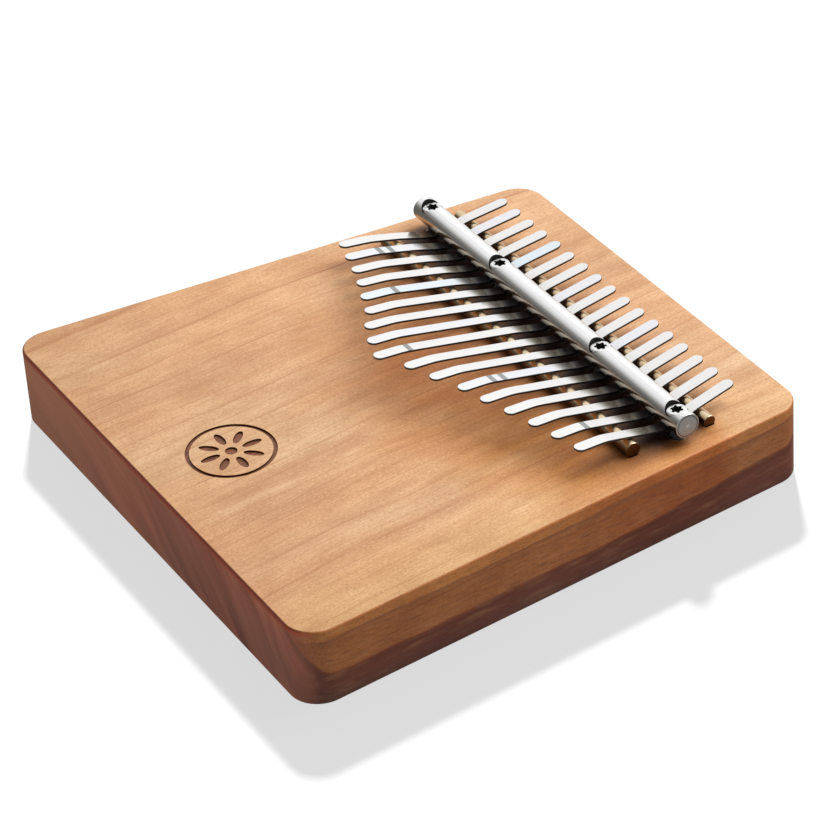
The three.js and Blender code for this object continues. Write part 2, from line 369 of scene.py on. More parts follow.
PITH_X = -107        # middle of the tree, left of the board and below it
PITH_Z = -115.3
RING_SPACING = 3.3
SAPWOOD_R = 228.6    # from here outwards the wood is lighter and more golden
GRAIN_LEAN = 0.083   # how far the grain leans to the left for each millimetre along the board
GRAIN_FAN = 0.0005   # and how much more it leans further right

# The line of the plucked tips: how far in front of the board's middle it peaks, and its two slopes.
TIPS_MIDDLE = 12.0
TIPS_SLOPE_RIGHT = 0.33
TIPS_SLOPE_LEFT = 0.41

# Tones of the broad zones along the rings, on the top and on the ends of the grain.
ZONE_TONES = [(0.3, (0.497, 0.255, 0.116)), (0.5, (0.590, 0.340, 0.169)), (0.68, (0.670, 0.424, 0.233))]
END_TONES = [(0.3, (0.185, 0.045, 0.020)), (0.5, (0.34, 0.089, 0.040)), (0.7, (0.48, 0.150, 0.080))]
LINE_BROWN = (0.37, 0.138, 0.048)
FLECK_BROWN = (0.41, 0.185, 0.075)
FLECK_PALE = (0.86, 0.60, 0.38)


def grain_place(n, x, y, z):
    """How far across the grain a point is, with the lean, the fan and the wander of the tree."""
    right = n.remap(x, 50, 78)
    fan = n.product(x, y, GRAIN_FAN, n.math("SUBTRACT", 1.0, right))
    along = n.math("ADD", x, n.math("ADD", n.math("MULTIPLY", y, GRAIN_LEAN), fan))
    slow = n.noise((x, y, z), (70, 170, 60), 2.0)
    quick = n.noise((x, y, z), (16, 50, 16), 2.0)
    wander = n.math("MULTIPLY", n.math("SUBTRACT", slow, 0.5), n.remap(right, 0.0, 1.0, 16.0, 4.0))
    wander = n.math("ADD", wander, n.math("MULTIPLY", n.math("SUBTRACT", quick, 0.5), 4.0))
    end = n.math("POWER", n.math("DIVIDE", y, BOARD_LENGTH / 2), 2.0)
    wander = n.math("SUBTRACT", wander, n.math("MULTIPLY", end, 2.2))
    return n.math("ADD", along, wander)


def ring_lines(n, radius, along, y, z):
    """Growth rings: each darkens slowly outwards and ends in a thin line, some strong and some faint."""
    ring = n.math("DIVIDE", radius, RING_SPACING)
    phase = n.math("FRACT", ring)
    each = n.add("ShaderNodeTexWhiteNoise", noise_dimensions="1D")
    n.feed(each.inputs["W"], n.math("FLOOR", ring))
    strength = n.remap(each.outputs["Value"], 0.1, 1.0, 0.3, 1.0)
    ring_end = n.remap(phase, 1.0, 0.98)
    late = n.math("MULTIPLY", n.math("POWER", n.remap(phase, 0.35, 0.96), 2.0), ring_end)
    broken = n.noise((along, y, z), (6, 30, 6), 2.0)
    thin = n.product(n.remap(phase, 0.89, 0.95), ring_end, n.remap(broken, 0.35, 0.6, 0.35, 1.0))
    line = n.math("MAXIMUM", n.math("MULTIPLY", late, 0.25), thin)
    return n.math("MULTIPLY", line, strength)


def zoned_wood(n, radius, along, y, z):
    """The wood's ground colour in broad zones, golden beyond SAPWOOD_R, and the dark line between."""
    zone = n.noise((radius, y, 0.0), (8, 240, 1), 2.0)
    base = n.ramp(zone, ZONE_TONES)
    tone = n.noise((along, y, z), (38, 90, 30), 2.0)
    base = n.mix(n.remap(tone, 0.38, 0.68, 0.0, 0.8), base, (0.66, 0.335, 0.158))
    # The change is sharp on the sides and gradual on the top.
    top = n.remap(z, BOARD_THICK - 2.5, BOARD_THICK - 0.5)
    sharp = n.remap(radius, SAPWOOD_R - 0.3, SAPWOOD_R + 0.6)
    gentle = n.remap(radius, SAPWOOD_R - 10, SAPWOOD_R + 5, 0.0, 0.8)
    below_top = n.math("MULTIPLY", sharp, n.math("SUBTRACT", 1.0, top))
    sap = n.math("ADD", below_top, n.math("MULTIPLY", gentle, top))
    base = n.mix(n.math("MULTIPLY", sap, 0.6), base, (0.66, 0.40, 0.165))
    rim = n.product(n.remap(radius, SAPWOOD_R - 2.6, SAPWOOD_R),
                    n.remap(radius, SAPWOOD_R + 0.4, SAPWOOD_R), n.remap(top, 0.0, 1.0, 1.0, 0.12))
    return base, n.math("MULTIPLY", rim, 1.1)


def fine_grain(n, color, fibre, speck, place):
    """Long streaks, fibres, broad figure and a fine speckle."""
    streak = n.noise(place, (1.1, 26, 1.1), 3.0, 0.6)
    color = n.mix(n.remap(streak, 0.52, 0.3, 0.0, 0.08), color, (0.40, 0.19, 0.085))
    color = n.mix(n.remap(streak, 0.5, 0.72, 0.0, 0.10), color, (0.84, 0.56, 0.33))
    color = n.mix(n.remap(fibre, 0.50, 0.32, 0.0, 0.25), color, (0.40, 0.185, 0.085))
    color = n.mix(n.remap(fibre, 0.54, 0.70, 0.0, 0.15), color, (0.86, 0.58, 0.35))
    figure = n.noise(place, (7, 15, 9), 2.0, 0.5)
    color = n.mix(n.remap(figure, 0.35, 0.65), n.tint(1.0, color, (0.90, 0.86, 0.82)),
                  n.tint(1.0, color, (1.04, 1.06, 1.09)))
    color = n.mix(n.remap(speck, 0.53, 0.69, 0.0, 0.58), color, FLECK_BROWN)
    return n.mix(n.remap(speck, 0.46, 0.31, 0.0, 0.27), color, FLECK_PALE)


def cherry_wood():
    n = Nodes("cherry_wood")
    x, y, z = n.place()
    along = grain_place(n, x, y, z)
    radius = n.away(n.math("SUBTRACT", along, PITH_X), n.math("SUBTRACT", z, PITH_Z))
    base, rim = zoned_wood(n, radius, along, y, z)
    line = n.math("MAXIMUM", ring_lines(n, radius, along, y, z), rim)
    fibre = n.noise((along, y, z), (0.55, 13, 0.55), 3.0, 0.6)
    speck = n.noise((along, y, z), (0.42, 1.0, 0.42), 2.0, 0.6)
    color = fine_grain(n, base, fibre, speck, (along, y, z))
    color = n.mix(n.math("MULTIPLY", line, 0.78), color, LINE_BROWN)
    color = shaded_wood(n, color, x, y, z)
    color = side_wood_and_painted_light(n, color, radius, (along, y, z))
    color = end_grain(n, color, (x, y, z), radius, line)
    color = burnt_mark(n, color, (x, y, z))
    grain = n.math("ADD", n.math("MULTIPLY", fibre, 0.6), n.math("MULTIPLY", speck, -0.3))
    rough = n.remap(fibre, 0.3, 0.7, 0.52, 0.42)
    return n.set(Base_Color=color, Roughness=rough, Normal=n.bump(grain, 0.05),
                 Specular_IOR_Level=0.34)


def normal_parts(n):
    """x, y and z of the surface's direction."""
    geometry = n.add("ShaderNodeNewGeometry")
    split = n.add("ShaderNodeSeparateXYZ")
    n.feed(split.inputs[0], geometry.outputs["Normal"])
    return split.outputs


def shaded_wood(n, color, x, y, z):
    """Painted shade: amber round the plucked tips and nearly black under the bar, standing in for the
    shadows that the tines, rods and bar cast.
    """
    tips_right = n.math("MULTIPLY", x, TIPS_SLOPE_RIGHT)
    tips = n.math("MAXIMUM", tips_right, n.math("MULTIPLY", x, -TIPS_SLOPE_LEFT))
    past_tips = n.math("ADD", n.math("SUBTRACT", y, tips), TIPS_MIDDLE)
    patchy = n.noise((x, y, z), (14, 34, 14), 2.0)
    past_tips = n.math("ADD", past_tips, n.remap(patchy, 0.3, 0.7, -9.0, 9.0))
    # Painted shade round the plucked tips, warm like shadowed wood.
    painted_tip_shade = n.product(n.remap(past_tips, -24, 10), n.remap(y, 66, 58),
                      n.remap(x, 91, 82), n.remap(x, -84, -62), 0.9)
    color = n.tint(painted_tip_shade, color, (0.84, 0.61, 0.37))
    # Painted shadow, deeper still on the right, and darkest round the right end of the front rod, where the
    # last tine and the rod's end cast it.
    painted_deeper_shade = n.product(painted_tip_shade, n.remap(x, 79, 73), n.remap(x, 5, 45))
    color = n.tint(painted_deeper_shade, color, (0.86, 0.79, 0.54))
    painted_rod_end_shadow = n.product(n.remap(x, 62, 69), n.remap(x, 79, 74), n.remap(y, 14, 24), n.remap(y, 56, 46))
    color = n.tint(painted_rod_end_shadow, color, (0.66, 0.62, 0.62))
    # Painted shadow of the bar and the tines between the rods, nearly black.
    painted_bar_shadow = n.product(n.remap(y, 24, 42), n.remap(y, 62, 57), n.remap(n.math("ABSOLUTE", x), 76, 70))
    color = n.tint(painted_bar_shadow, color, (0.08, 0.055, 0.045))
    # Painted shade: the whole board is a little darker towards its front edge, where the light falls off.
    return n.tint(n.remap(y, 0, -BOARD_LENGTH / 2), color, (0.86, 0.84, 0.78))


def side_wood_and_painted_light(n, color, radius, place):
    """Richer and darker on the sides, more so in the older wood, with dark dashes along the grain."""
    upright = n.remap(n.math("ABSOLUTE", normal_parts(n)[2]), 0.96, 0.75)
    old = n.remap(radius, SAPWOOD_R + 0.4, SAPWOOD_R - 0.6)
    tint = n.mix(old, (0.61, 0.36, 0.220), (0.29, 0.140, 0.140))
    side = n.mix(1.0, color, tint, "MULTIPLY")
    dash = n.noise(place, (0.5, 5, 0.5), 2.0, 0.6)
    side = n.mix(n.remap(dash, 0.52, 0.68, 0.0, 0.55), side, (0.13, 0.045, 0.022))
    glow = n.noise(place, (2.0, 12, 2.0), 2.0, 0.6)
    side = n.mix(n.remap(glow, 0.5, 0.75, 0.0, 0.26), side, (0.42, 0.20, 0.09))
    # A golden strip along the top of each side is painted highlight, with a dark line beneath it.
    z = place[2]
    wavy = n.math("ADD", z, n.remap(n.noise(place, (8, 60, 8), 2.0), 0.3, 0.7, -0.8, 0.8))
    painted_highlight_strip = n.remap(wavy, BOARD_THICK - 4.0, BOARD_THICK - 3.5)
    side = n.tint(painted_highlight_strip, side, (1.42, 1.55, 1.40))
    off_line = n.math("ABSOLUTE", n.math("SUBTRACT", wavy, BOARD_THICK - 4.5))
    side = n.mix(n.remap(off_line, 0.8, 0.2, 0.0, 0.32), side, (0.20, 0.075, 0.035))
    # Darker towards the bottom: partly painted shade near the floor, partly the wood's own tone.
    side = n.tint(n.remap(z, 7, 0), side, (0.60, 0.66, 0.78))
    return n.mix(upright, color, side)


def end_grain(n, color, place, radius, line):
    """Darker and greyer across the grain, in broad bands that follow the rings."""
    x, z = place[0], place[2]
    normal = normal_parts(n)
    rise = n.math("ABSOLUTE", normal[2])
    on_end = n.remap(n.math("ABSOLUTE", normal[1]), 0.45, 0.97)
    wide = n.noise((radius, x, z), (7, 50, 50), 2.0, 0.5)
    end = n.ramp(wide, END_TONES)
    narrow = n.noise((radius, x, z), (1.5, 18, 18), 3.0, 0.6)
    end = n.mix(n.remap(narrow, 0.54, 0.74, 0.0, 0.20), end, (0.13, 0.05, 0.032))
    cool = n.remap(n.noise(place, (60, 60, 16), 1.0), 0.4, 0.65)
    end = n.mix(n.math("MULTIPLY", cool, 0.55), end, (0.285, 0.107, 0.067))
    left = n.remap(x, 30, -70)
    end = n.mix(n.math("MULTIPLY", left, 0.55), end, (0.66, 0.265, 0.143))
    speck = n.noise(place, (0.3, 0.3, 0.3), 2.0)
    end = n.mix(n.remap(speck, 0.5, 0.7, 0.0, 0.35), end, (0.15, 0.055, 0.035))
    end = n.mix(n.math("MULTIPLY", line, 0.45), end, (0.13, 0.05, 0.03))
    end = n.tint(n.remap(z, 5, 23), end, (1.30, 1.26, 1.20))
    # Painted shade: the far end, which faces the lights, is darkened.
    end = n.tint(n.remap(normal[1], 0.2, 0.8), end, (0.62, 0.78, 0.82))
    # The top edge of the player's end is a thin red stripe.
    stripe = n.mix(n.remap(rise, 0.15, 0.6), (0.48, 0.078, 0.026), (0.17, 0.030, 0.014))
    level = n.math("SQRT", n.math("SUBTRACT", 1.0001, n.math("MULTIPLY", rise, rise)))
    heading = n.remap(n.math("DIVIDE", normal[1], level), -0.45, -0.95)
    near_top = n.remap(z, BOARD_THICK - 1.9, BOARD_THICK - 1.4)
    lip = n.product(near_top, n.remap(rise, 0.99, 0.95), heading, 0.9)
    return n.mix(lip, n.mix(on_end, color, end), stripe)


def burnt_mark(n, color, place):
    """Red brown inside the engraved ornament, and charred black on its walls."""
    x, y, z = place
    depth = n.remap(z, BOARD_THICK - 0.05, BOARD_THICK - 0.25)
    away = n.away(x, n.math("SUBTRACT", y, MARK_Y))
    inside = n.remap(away, MARK_RING_R + 3, MARK_RING_R + 2)
    grain = n.noise(place, (0.5, 5, 0.5), 3.0)
    brown = n.mix(n.remap(grain, 0.3, 0.7), (0.095, 0.028, 0.011), (0.26, 0.088, 0.034))
    brown = n.mix(n.remap(normal_parts(n)[2], 0.8, 0.4), brown, (0.012, 0.006, 0.004))
    return n.mix(n.math("MULTIPLY", depth, inside), color, brown)


# ---- metal -----------------------------------------------------------------------------------------


def tine_steel(name, tint, bands):
    """Polished spring steel. bands are the middles, in Y, of the grey bands painted across the tine."""
    n = Nodes(name)
    x, y, z = n.place()
    streak = n.noise((x, y, z), (0.25, 24, 8), 2.0, 0.5)
    cloud = n.noise((x, y, z), (4, 14, 14), 2.0)
    steel = n.mix(n.remap(streak, 0.3, 0.7, 0.0, 0.5), tint, tuple(c * 0.9 for c in tint))
    rough = n.math("ADD", n.remap(streak, 0.3, 0.7, 0.13, 0.17), n.remap(cloud, 0.3, 0.7, -0.02, 0.03))
    # Painted shade: dark and dull near the bar, standing in for the bar's dark underside mirrored in the
    # steel.
    painted_bar_shade = n.math("MULTIPLY", n.remap(y, 41.5, 44), n.remap(y, 56, 54))
    steel = n.mix(n.math("MULTIPLY", painted_bar_shade, 0.75), steel, (0.09, 0.098, 0.11))
    rough = n.math("ADD", rough, n.math("MULTIPLY", painted_bar_shade, 0.2))
    for middle in bands:
        away = n.math("ABSOLUTE", n.math("SUBTRACT", y, middle))
        painted = n.remap(away, BAND_WIDTH / 2 + 0.06, BAND_WIDTH / 2 - 0.06)
        steel = n.mix(painted, steel, (0.27, 0.285, 0.28))
        rough = n.math("ADD", rough, n.math("MULTIPLY", painted, 0.3))
    return n.set(Base_Color=steel, Metallic=1.0, Roughness=rough, Normal=n.bump(cloud, 0.0004))


def tine_edge_steel():
    """The strips' sheared edges, dark and dull. It also darkens the screws' shanks as painted shade."""
    n = Nodes("tine_edge_steel")
    x, y, z = n.place()
    patches = n.noise((x, y, z), (1.5, 3, 0.3), 3.0)
    color = n.mix(n.remap(patches, 0.3, 0.7), (0.03, 0.032, 0.038), (0.12, 0.12, 0.125))
    return n.set(Base_Color=color, Metallic=1.0, Roughness=n.remap(patches, 0.3, 0.7, 0.5, 0.35))


def bar_steel():
    """Ground round bar, with fine scratches along it and turning marks on its ends."""
    n = Nodes("bar_steel")
    x, y, z = n.place()
    streak = n.noise((x, y, z), (40, 0.35, 0.35), 4.0, 0.6)
    cloud = n.noise((x, y, z), (9, 5, 5), 2.0)
    away = n.away(n.math("SUBTRACT", y, BAR_Y), n.math("SUBTRACT", z, BAR_Z))
    turned = n.noise((away, 0.0, 0.0), (0.5, 1, 1), 2.0)
    normal = normal_parts(n)
    on_end = n.remap(n.math("ABSOLUTE", normal[0]), 0.9, 0.99)
    color = n.mix(n.remap(streak, 0.3, 0.7), (0.95, 0.955, 0.95), (0.86, 0.865, 0.86))
    # Painted shade: darker on its underside, and darkest low down, standing in for the dark wood and tines
    # it mirrors.
    painted_underside_shade = n.remap(normal[2], 0.86, 0.55)
    color = n.tint(painted_underside_shade, color, (0.76, 0.72, 0.66))
    color = n.mix(n.remap(normal[2], 0.45, 0.1), color, (0.52, 0.45, 0.36))
    end_color = n.mix(n.remap(turned, 0.3, 0.7), (0.56, 0.56, 0.55), (0.34, 0.34, 0.335))
    groove = n.remap(n.math("ABSOLUTE", n.math("SUBTRACT", away, BAR_R - 0.6)), 0.30, 0.10)
    end_color = n.mix(groove, end_color, (0.17, 0.17, 0.165))
    end_color = n.mix(n.remap(away, 0.9, 0.3), end_color, (0.68, 0.68, 0.67))
    color = n.mix(on_end, color, end_color)
    rough = n.math("ADD", n.remap(streak, 0.3, 0.7, 0.12, 0.19), n.remap(cloud, 0.3, 0.7, -0.02, 0.03))
    rough = n.math("ADD", rough, n.math("MULTIPLY", on_end, 0.26))
    height = n.math("ADD", n.math("MULTIPLY", streak, n.math("SUBTRACT", 1.0, on_end)),
                    n.math("MULTIPLY", turned, on_end))
    return n.set(Base_Color=color, Metallic=1.0, Roughness=rough, Normal=n.bump(height, 0.009))


def screw_steel():
    n = Nodes("screw_steel")
    x, y, z = n.place()
    wear = n.noise((x, y, z), (0.7, 0.7, 0.7), 3.0)
    pits = n.noise((x, y, z), (0.35, 0.35, 0.35), 2.0)
    color = n.mix(n.remap(wear, 0.35, 0.7), (0.88, 0.88, 0.87), (0.66, 0.66, 0.65))
    color = n.mix(n.remap(pits, 0.60, 0.68), color, (0.10, 0.10, 0.10))
    height = n.math("SUBTRACT", wear, n.remap(pits, 0.55, 0.68))
    return n.set(Base_Color=color, Metallic=1.0, Roughness=n.remap(wear, 0.3, 0.7, 0.16, 0.30),
                 Normal=n.bump(height, 0.008))


def recess_black_and_bore_shade():
    """Near black, for the screws' drive recesses and, as painted shade, for the walls of the bar's
    counterbores.
    """
    n = Nodes("recess_black_and_bore_shade")
    grime = n.noise(n.place(), (0.4, 0.4, 0.4), 2.0)
    color = n.mix(n.remap(grime, 0.35, 0.7), (0.006, 0.006, 0.007), (0.03, 0.028, 0.026))
    rough = n.remap(grime, 0.3, 0.7, 0.5, 0.75)
    return n.set(Base_Color=color, Roughness=rough, Specular_IOR_Level=0.2)


def brass(name, painted_shade_amount):
    """Drawn brass, with painted shade on its underside. The second argument, from 0 to 1, darkens the rest
    too: painted shade for parts that sit in shadow.
    """
    n = Nodes(name)
    x, y, z = n.place()
    streak = n.noise((x, y, z), (18, 0.3, 0.3), 3.0, 0.6)
    patina = n.noise((x, y, z), (7, 3, 3), 3.0)
    color = n.mix(n.remap(streak, 0.3, 0.7), (0.84, 0.68, 0.46), (0.68, 0.50, 0.30))
    normal = normal_parts(n)
    on_end = n.remap(n.math("ABSOLUTE", normal[0]), 0.9, 0.99)
    color = n.mix(n.math("MULTIPLY", on_end, 0.75), color, (0.30, 0.185, 0.10))
    color = n.mix(n.remap(patina, 0.5, 0.8, 0.0, 0.45), color, (0.38, 0.24, 0.12))
    # Painted shade on the underside, where the rods sit in their own shadow.
    painted_underside_shade = n.remap(normal[2], 0.78, 0.35)
    color = n.mix(n.math("MULTIPLY", painted_underside_shade, 0.92), color, (0.085, 0.042, 0.018))
    color = n.mix(painted_shade_amount, color, (0.06, 0.035, 0.018))
    rough = n.remap(patina, 0.3, 0.7, 0.20, 0.32)
    return n.set(Base_Color=color, Metallic=1.0, Roughness=rough, Normal=n.bump(streak, 0.008))


# ---- board -----------------------------------------------------------------------------------------


def board_outline(inset, steps=20):
    """The plan outline, anticlockwise, moved in by inset."""
    half = BOARD_LENGTH / 2
    corners = [Vector(c) for c in ((-BOARD_WIDTH_PLAYER / 2, -half), (BOARD_WIDTH_PLAYER / 2, -half),
                                   (BOARD_WIDTH_FAR / 2, half), (-BOARD_WIDTH_FAR / 2, half))]
    points = []
    for i, corner in enumerate(corners):
        back = (corners[i - 1] - corner).normalized()
        on = (corners[(i + 1) % 4] - corner).normalized()
        half_angle = back.angle(on) / 2
        middle = corner + (back + on).normalized() * (BOARD_CORNER_R / math.sin(half_angle))
        start = corner + back * (BOARD_CORNER_R / math.tan(half_angle)) - middle
        turn = math.pi - 2 * half_angle
        first = math.atan2(start.y, start.x)
        for step in range(steps + 1):
            angle = first + turn * step / steps
            reach = BOARD_CORNER_R - inset
            points.append((middle.x + reach * math.cos(angle), middle.y + reach * math.sin(angle)))
    return points


def board_blank():
    rings = []
    steps = 6
    for step in range(steps + 1):
        t = math.pi / 2 * step / steps
        z = BOARD_EDGE_R * (1 - math.cos(t))
        rings.append([(px, py, z) for px, py in board_outline(BOARD_EDGE_R * (1 - math.sin(t)))])
    for step in range(steps + 1):
        t = math.pi / 2 * step / steps
        z = BOARD_THICK - BOARD_EDGE_R * (1 - math.sin(t))
        rings.append([(px, py, z) for px, py in board_outline(BOARD_EDGE_R * (1 - math.cos(t)))])
    return new_object("board", *skin(rings))


def rod_height(rod):
    return BOARD_THICK + rod["radius"] - rod["sunk"]


def mark_cutters():
    bottom, top = BOARD_THICK - MARK_DEPTH, BOARD_THICK + 1
    sides = 96
    inner, outer = MARK_RING_R - MARK_RING_WIDTH / 2, MARK_RING_R + MARK_RING_WIDTH / 2
    rings = []
    for radius, z in ((inner, bottom), (outer, bottom), (outer, top), (inner, top)):
        rings.append([(radius * math.cos(t), MARK_Y + radius * math.sin(t), z)
                      for t in (2 * math.pi * i / sides for i in range(sides))])
    verts, faces = skin(rings + [rings[0]], closed=False)
    ring = new_object("cut_ring", verts, faces)
    weld(ring)
    tools = [ring, cutter("cut_dot", [(MARK_DOT_R, bottom), (MARK_DOT_R, top)], 48, (0, MARK_Y))]
    for i in range(MARK_PETALS):
        tools.append(petal_cutter(2 * math.pi * i / MARK_PETALS, bottom, top))
    return tools


def petal_cutter(turn, bottom, top, sides=40):
    middle = MARK_PETAL_FROM + MARK_PETAL_LENGTH / 2
    rings = []
    for z in (bottom, top):
        ring = []
        for i in range(sides):
            t = 2 * math.pi * i / sides
            out = middle + MARK_PETAL_LENGTH / 2 * math.cos(t)
            side = MARK_PETAL_WIDTH / 2 * math.sin(t)
            ring.append((out * math.cos(turn) - side * math.sin(turn),
                         MARK_Y + out * math.sin(turn) + side * math.cos(turn), z))
        rings.append(ring)
    return new_object("cut_petal", *skin(rings))


def weld(obj):
    work = bmesh.new()
    work.from_mesh(obj.data)
    bmesh.ops.remove_doubles(work, verts=work.verts, dist=1e-7)
    work.to_mesh(obj.data)
    work.free()


def build_board():
    board = board_blank()
    tidy_normals(board)
    tools = mark_cutters()
    for rod in (FRONT_ROD, REAR_ROD):
        seat = round_rod("cut_seat", rod["radius"] + SEAT_GAP, ROD_LENGTH + 4 * SEAT_GAP, 0.3)
        tools.append(shifted(seat, 0, rod["y"], rod_height(rod)))
    for pitches in SCREW_PITCHES:
        radius = INSERT_R + SEAT_GAP
        hole = [(radius, BOARD_THICK - INSERT_LENGTH - 1), (radius, BOARD_THICK + 1)]
        tools.append(cutter("cut_hole", hole, 48, (pitches * TINE_PITCH, BAR_Y)))
    cut(board, tools)
    shade(board)
    finish_piece(board, cherry_wood(), "body_board")


# ---- rods, bar, screws, inserts --------------------------------------------------------------------


def build_rods(material):
    for name, rod in (("front_rod", FRONT_ROD), ("rear_rod", REAR_ROD)):
        obj = round_rod(name, rod["radius"], ROD_LENGTH, 0.25)
        shifted(obj, 0, rod["y"], rod_height(rod))
        tidy_normals(obj)
        shade(obj, 50)
        finish_piece(obj, material, name.replace("_rod", "_bridge_rod"))


HEAD_TOP_Z = BAR_Z + BAR_R - SCREW_HEAD_SUNK
HEAD_SEAT_Z = HEAD_TOP_Z - SCREW_HEAD_HEIGHT


def build_bar(recess_and_bore_shade):
    bar = round_rod("bar", BAR_R, BAR_LENGTH, 0.2, 128)
    shifted(bar, 0, BAR_Y, BAR_Z)
    tidy_normals(bar)
    tools = []
    for pitches in SCREW_PITCHES:
        place = (pitches * TINE_PITCH, BAR_Y)
        bore = [(COUNTERBORE_R, HEAD_SEAT_Z - 0.1), (COUNTERBORE_R, BAR_Z + BAR_R + 1)]
        shank = [(SCREW_R + 0.2, BAR_Z - BAR_R - 1), (SCREW_R + 0.2, HEAD_SEAT_Z + 0.5)]
        tools.append(cutter("cut_bore", bore, 72, place))
        tools.append(cutter("cut_shank", shank, 48, place))
    cut(bar, tools)
    shade(bar, 30)
    finish_piece(bar, bar_steel(), "pressure_bar")
    bar.data.materials.append(recess_and_bore_shade)
    # Painted shade: the counterbore walls take the near-black recess material.
    for face in bar.data.polygons:
        off_hole = min(abs(face.center.x / MM - pitches * TINE_PITCH) for pitches in SCREW_PITCHES)
        off_axis = abs(face.center.y / MM - BAR_Y)
        upright = abs(face.normal.z) < 0.2
        if upright and off_hole < COUNTERBORE_R + 0.1 and off_axis < BAR_R - 0.3:
            face.material_index = 1


def recess_radius(angle):
    """The outline of the six-lobe recess."""
    mean = (RECESS_R + RECESS_WAIST_R) / 2
    swing = (RECESS_R - RECESS_WAIST_R) / 2
    wave = math.cos(6 * angle)
    return mean + swing * wave


def screw_mesh(index):
    """A screw about Z, its head's top at z = 0: recess, rounded head, then a threaded shank."""
    sides = 96
    turn = 0.4 * index + 0.15
    angles = [2 * math.pi * i / sides for i in range(sides)]
    rings = []

    def ring(radius_at, z_at):
        rings.append([(radius_at(t) * math.cos(t), radius_at(t) * math.sin(t), z_at(t))
                      for t in angles])

    def lobes(scale):
        return lambda t: recess_radius(t + turn) * scale

    ring(lambda t: 0.05, lambda t: -RECESS_DEPTH - 0.35)
    ring(lobes(0.93), lambda t: -RECESS_DEPTH)
    ring(lobes(0.98), lambda t: -0.12)
    ring(lobes(1.03), lambda t: -0.02)
    head = SCREW_HEAD_R
    for inward, down in ((0.62, 0), (0.40, 0.04), (0.2, 0.14), (0.06, 0.32), (0, 0.55)):
        ring(lambda t, r=head - inward: r, lambda t, d=down: -d)
    ring(lambda t: head, lambda t: -SCREW_HEAD_HEIGHT + 0.1)
    ring(lambda t: head - 0.1, lambda t: -SCREW_HEAD_HEIGHT)
    ring(lambda t: SCREW_R, lambda t: -SCREW_HEAD_HEIGHT)
    tip = BOARD_THICK - SCREW_TIP_DEPTH - HEAD_TOP_Z
    start = -SCREW_HEAD_HEIGHT - 0.4
    steps = int((start - tip - 0.6) / (THREAD_PITCH / 6))
    for step in range(steps):
        z = start - step * THREAD_PITCH / 6
        fade = min(1.0, step / 6)

        def radius(t, z=z, fade=fade):
            phase = (z / THREAD_PITCH + t / (2 * math.pi)) % 1.0
            return SCREW_R - THREAD_DEPTH * fade * (1 - abs(2 * phase - 1)) - 0.02

        ring(radius, lambda t, z=z: z)
    ring(lambda t: SCREW_R - 0.55, lambda t: tip)
    return skin(rings)


def build_screws(material, recess_and_bore_shade, shank_painted_shade):
    for i, pitches in enumerate(SCREW_PITCHES):
        screw = new_object(f"screw_{i + 1}", *screw_mesh(i))
        shifted(screw, pitches * TINE_PITCH, BAR_Y, HEAD_TOP_Z)
        tidy_normals(screw)
        shade(screw, 40)
        finish_piece(screw, material, f"clamp_screw_{i + 1}")
        screw.data.materials.append(recess_and_bore_shade)
        screw.data.materials.append(shank_painted_shade)
        for face in screw.data.polygons:
            away = math.hypot(face.center.x / MM - pitches * TINE_PITCH, face.center.y / MM - BAR_Y)
            level = face.center.z / MM
            # The shank takes the dark edge steel: painted shade between the bar and the board.
            if level < HEAD_SEAT_Z - 0.2:
                face.material_index = 2
            elif away < RECESS_R * 1.01:
                face.material_index = 1


def build_inserts(material):
    inner = SCREW_R + 0.1
    top = BOARD_THICK
    profile = [(inner, top - INSERT_LENGTH), (INSERT_R, top - INSERT_LENGTH), (INSERT_R, top - 0.15),
               (INSERT_R - 0.15, top), (inner + 0.3, top), (inner, top - 0.3)]
    sides = 64
    for i, pitches in enumerate(SCREW_PITCHES):
        rings = []
        for radius, z in profile + profile[:1]:
            rings.append([(pitches * TINE_PITCH + radius * math.cos(t), BAR_Y + radius * math.sin(t), z)
                          for t in (2 * math.pi * k / sides for k in range(sides))])
        verts, faces = skin(rings, closed=False)
        insert = new_object(f"insert_{i + 1}", verts, faces)
        weld(insert)
        tidy_normals(insert)
        shade(insert, 40)
        finish_piece(insert, material, f"threaded_insert_{i + 1}")


# ---- tines -----------------------------------------------------------------------------------------

MIDDLE = (TINE_COUNT - 1) / 2
FRONT_REACH = FRONT_ROD["radius"] + STAND_OFF
REAR_REACH = REAR_ROD["radius"] + STAND_OFF
REAR_CONTACT_Y = REAR_ROD["y"] - REAR_REACH * math.sin(REAR_RISE)
REAR_CONTACT_Z = rod_height(REAR_ROD) + REAR_REACH * math.cos(REAR_RISE)
UNDER_BAR_Z = BAR_Z - BAR_R - STAND_OFF


def front_rise(index):
    return FRONT_RISE + EXTRA_RISE * max(0, (index - MIDDLE) / MIDDLE)


def front_contact(index):
    rise = front_rise(index)
    contact_y = FRONT_ROD["y"] + FRONT_REACH * math.sin(rise)
    return contact_y, rod_height(FRONT_ROD) + FRONT_REACH * math.cos(rise)


def spring_rise(distance, run, rise, slope):
    u = distance / run
    return rise * (3 * u * u - 2 * u ** 3) + slope * run * (u ** 3 - u * u)


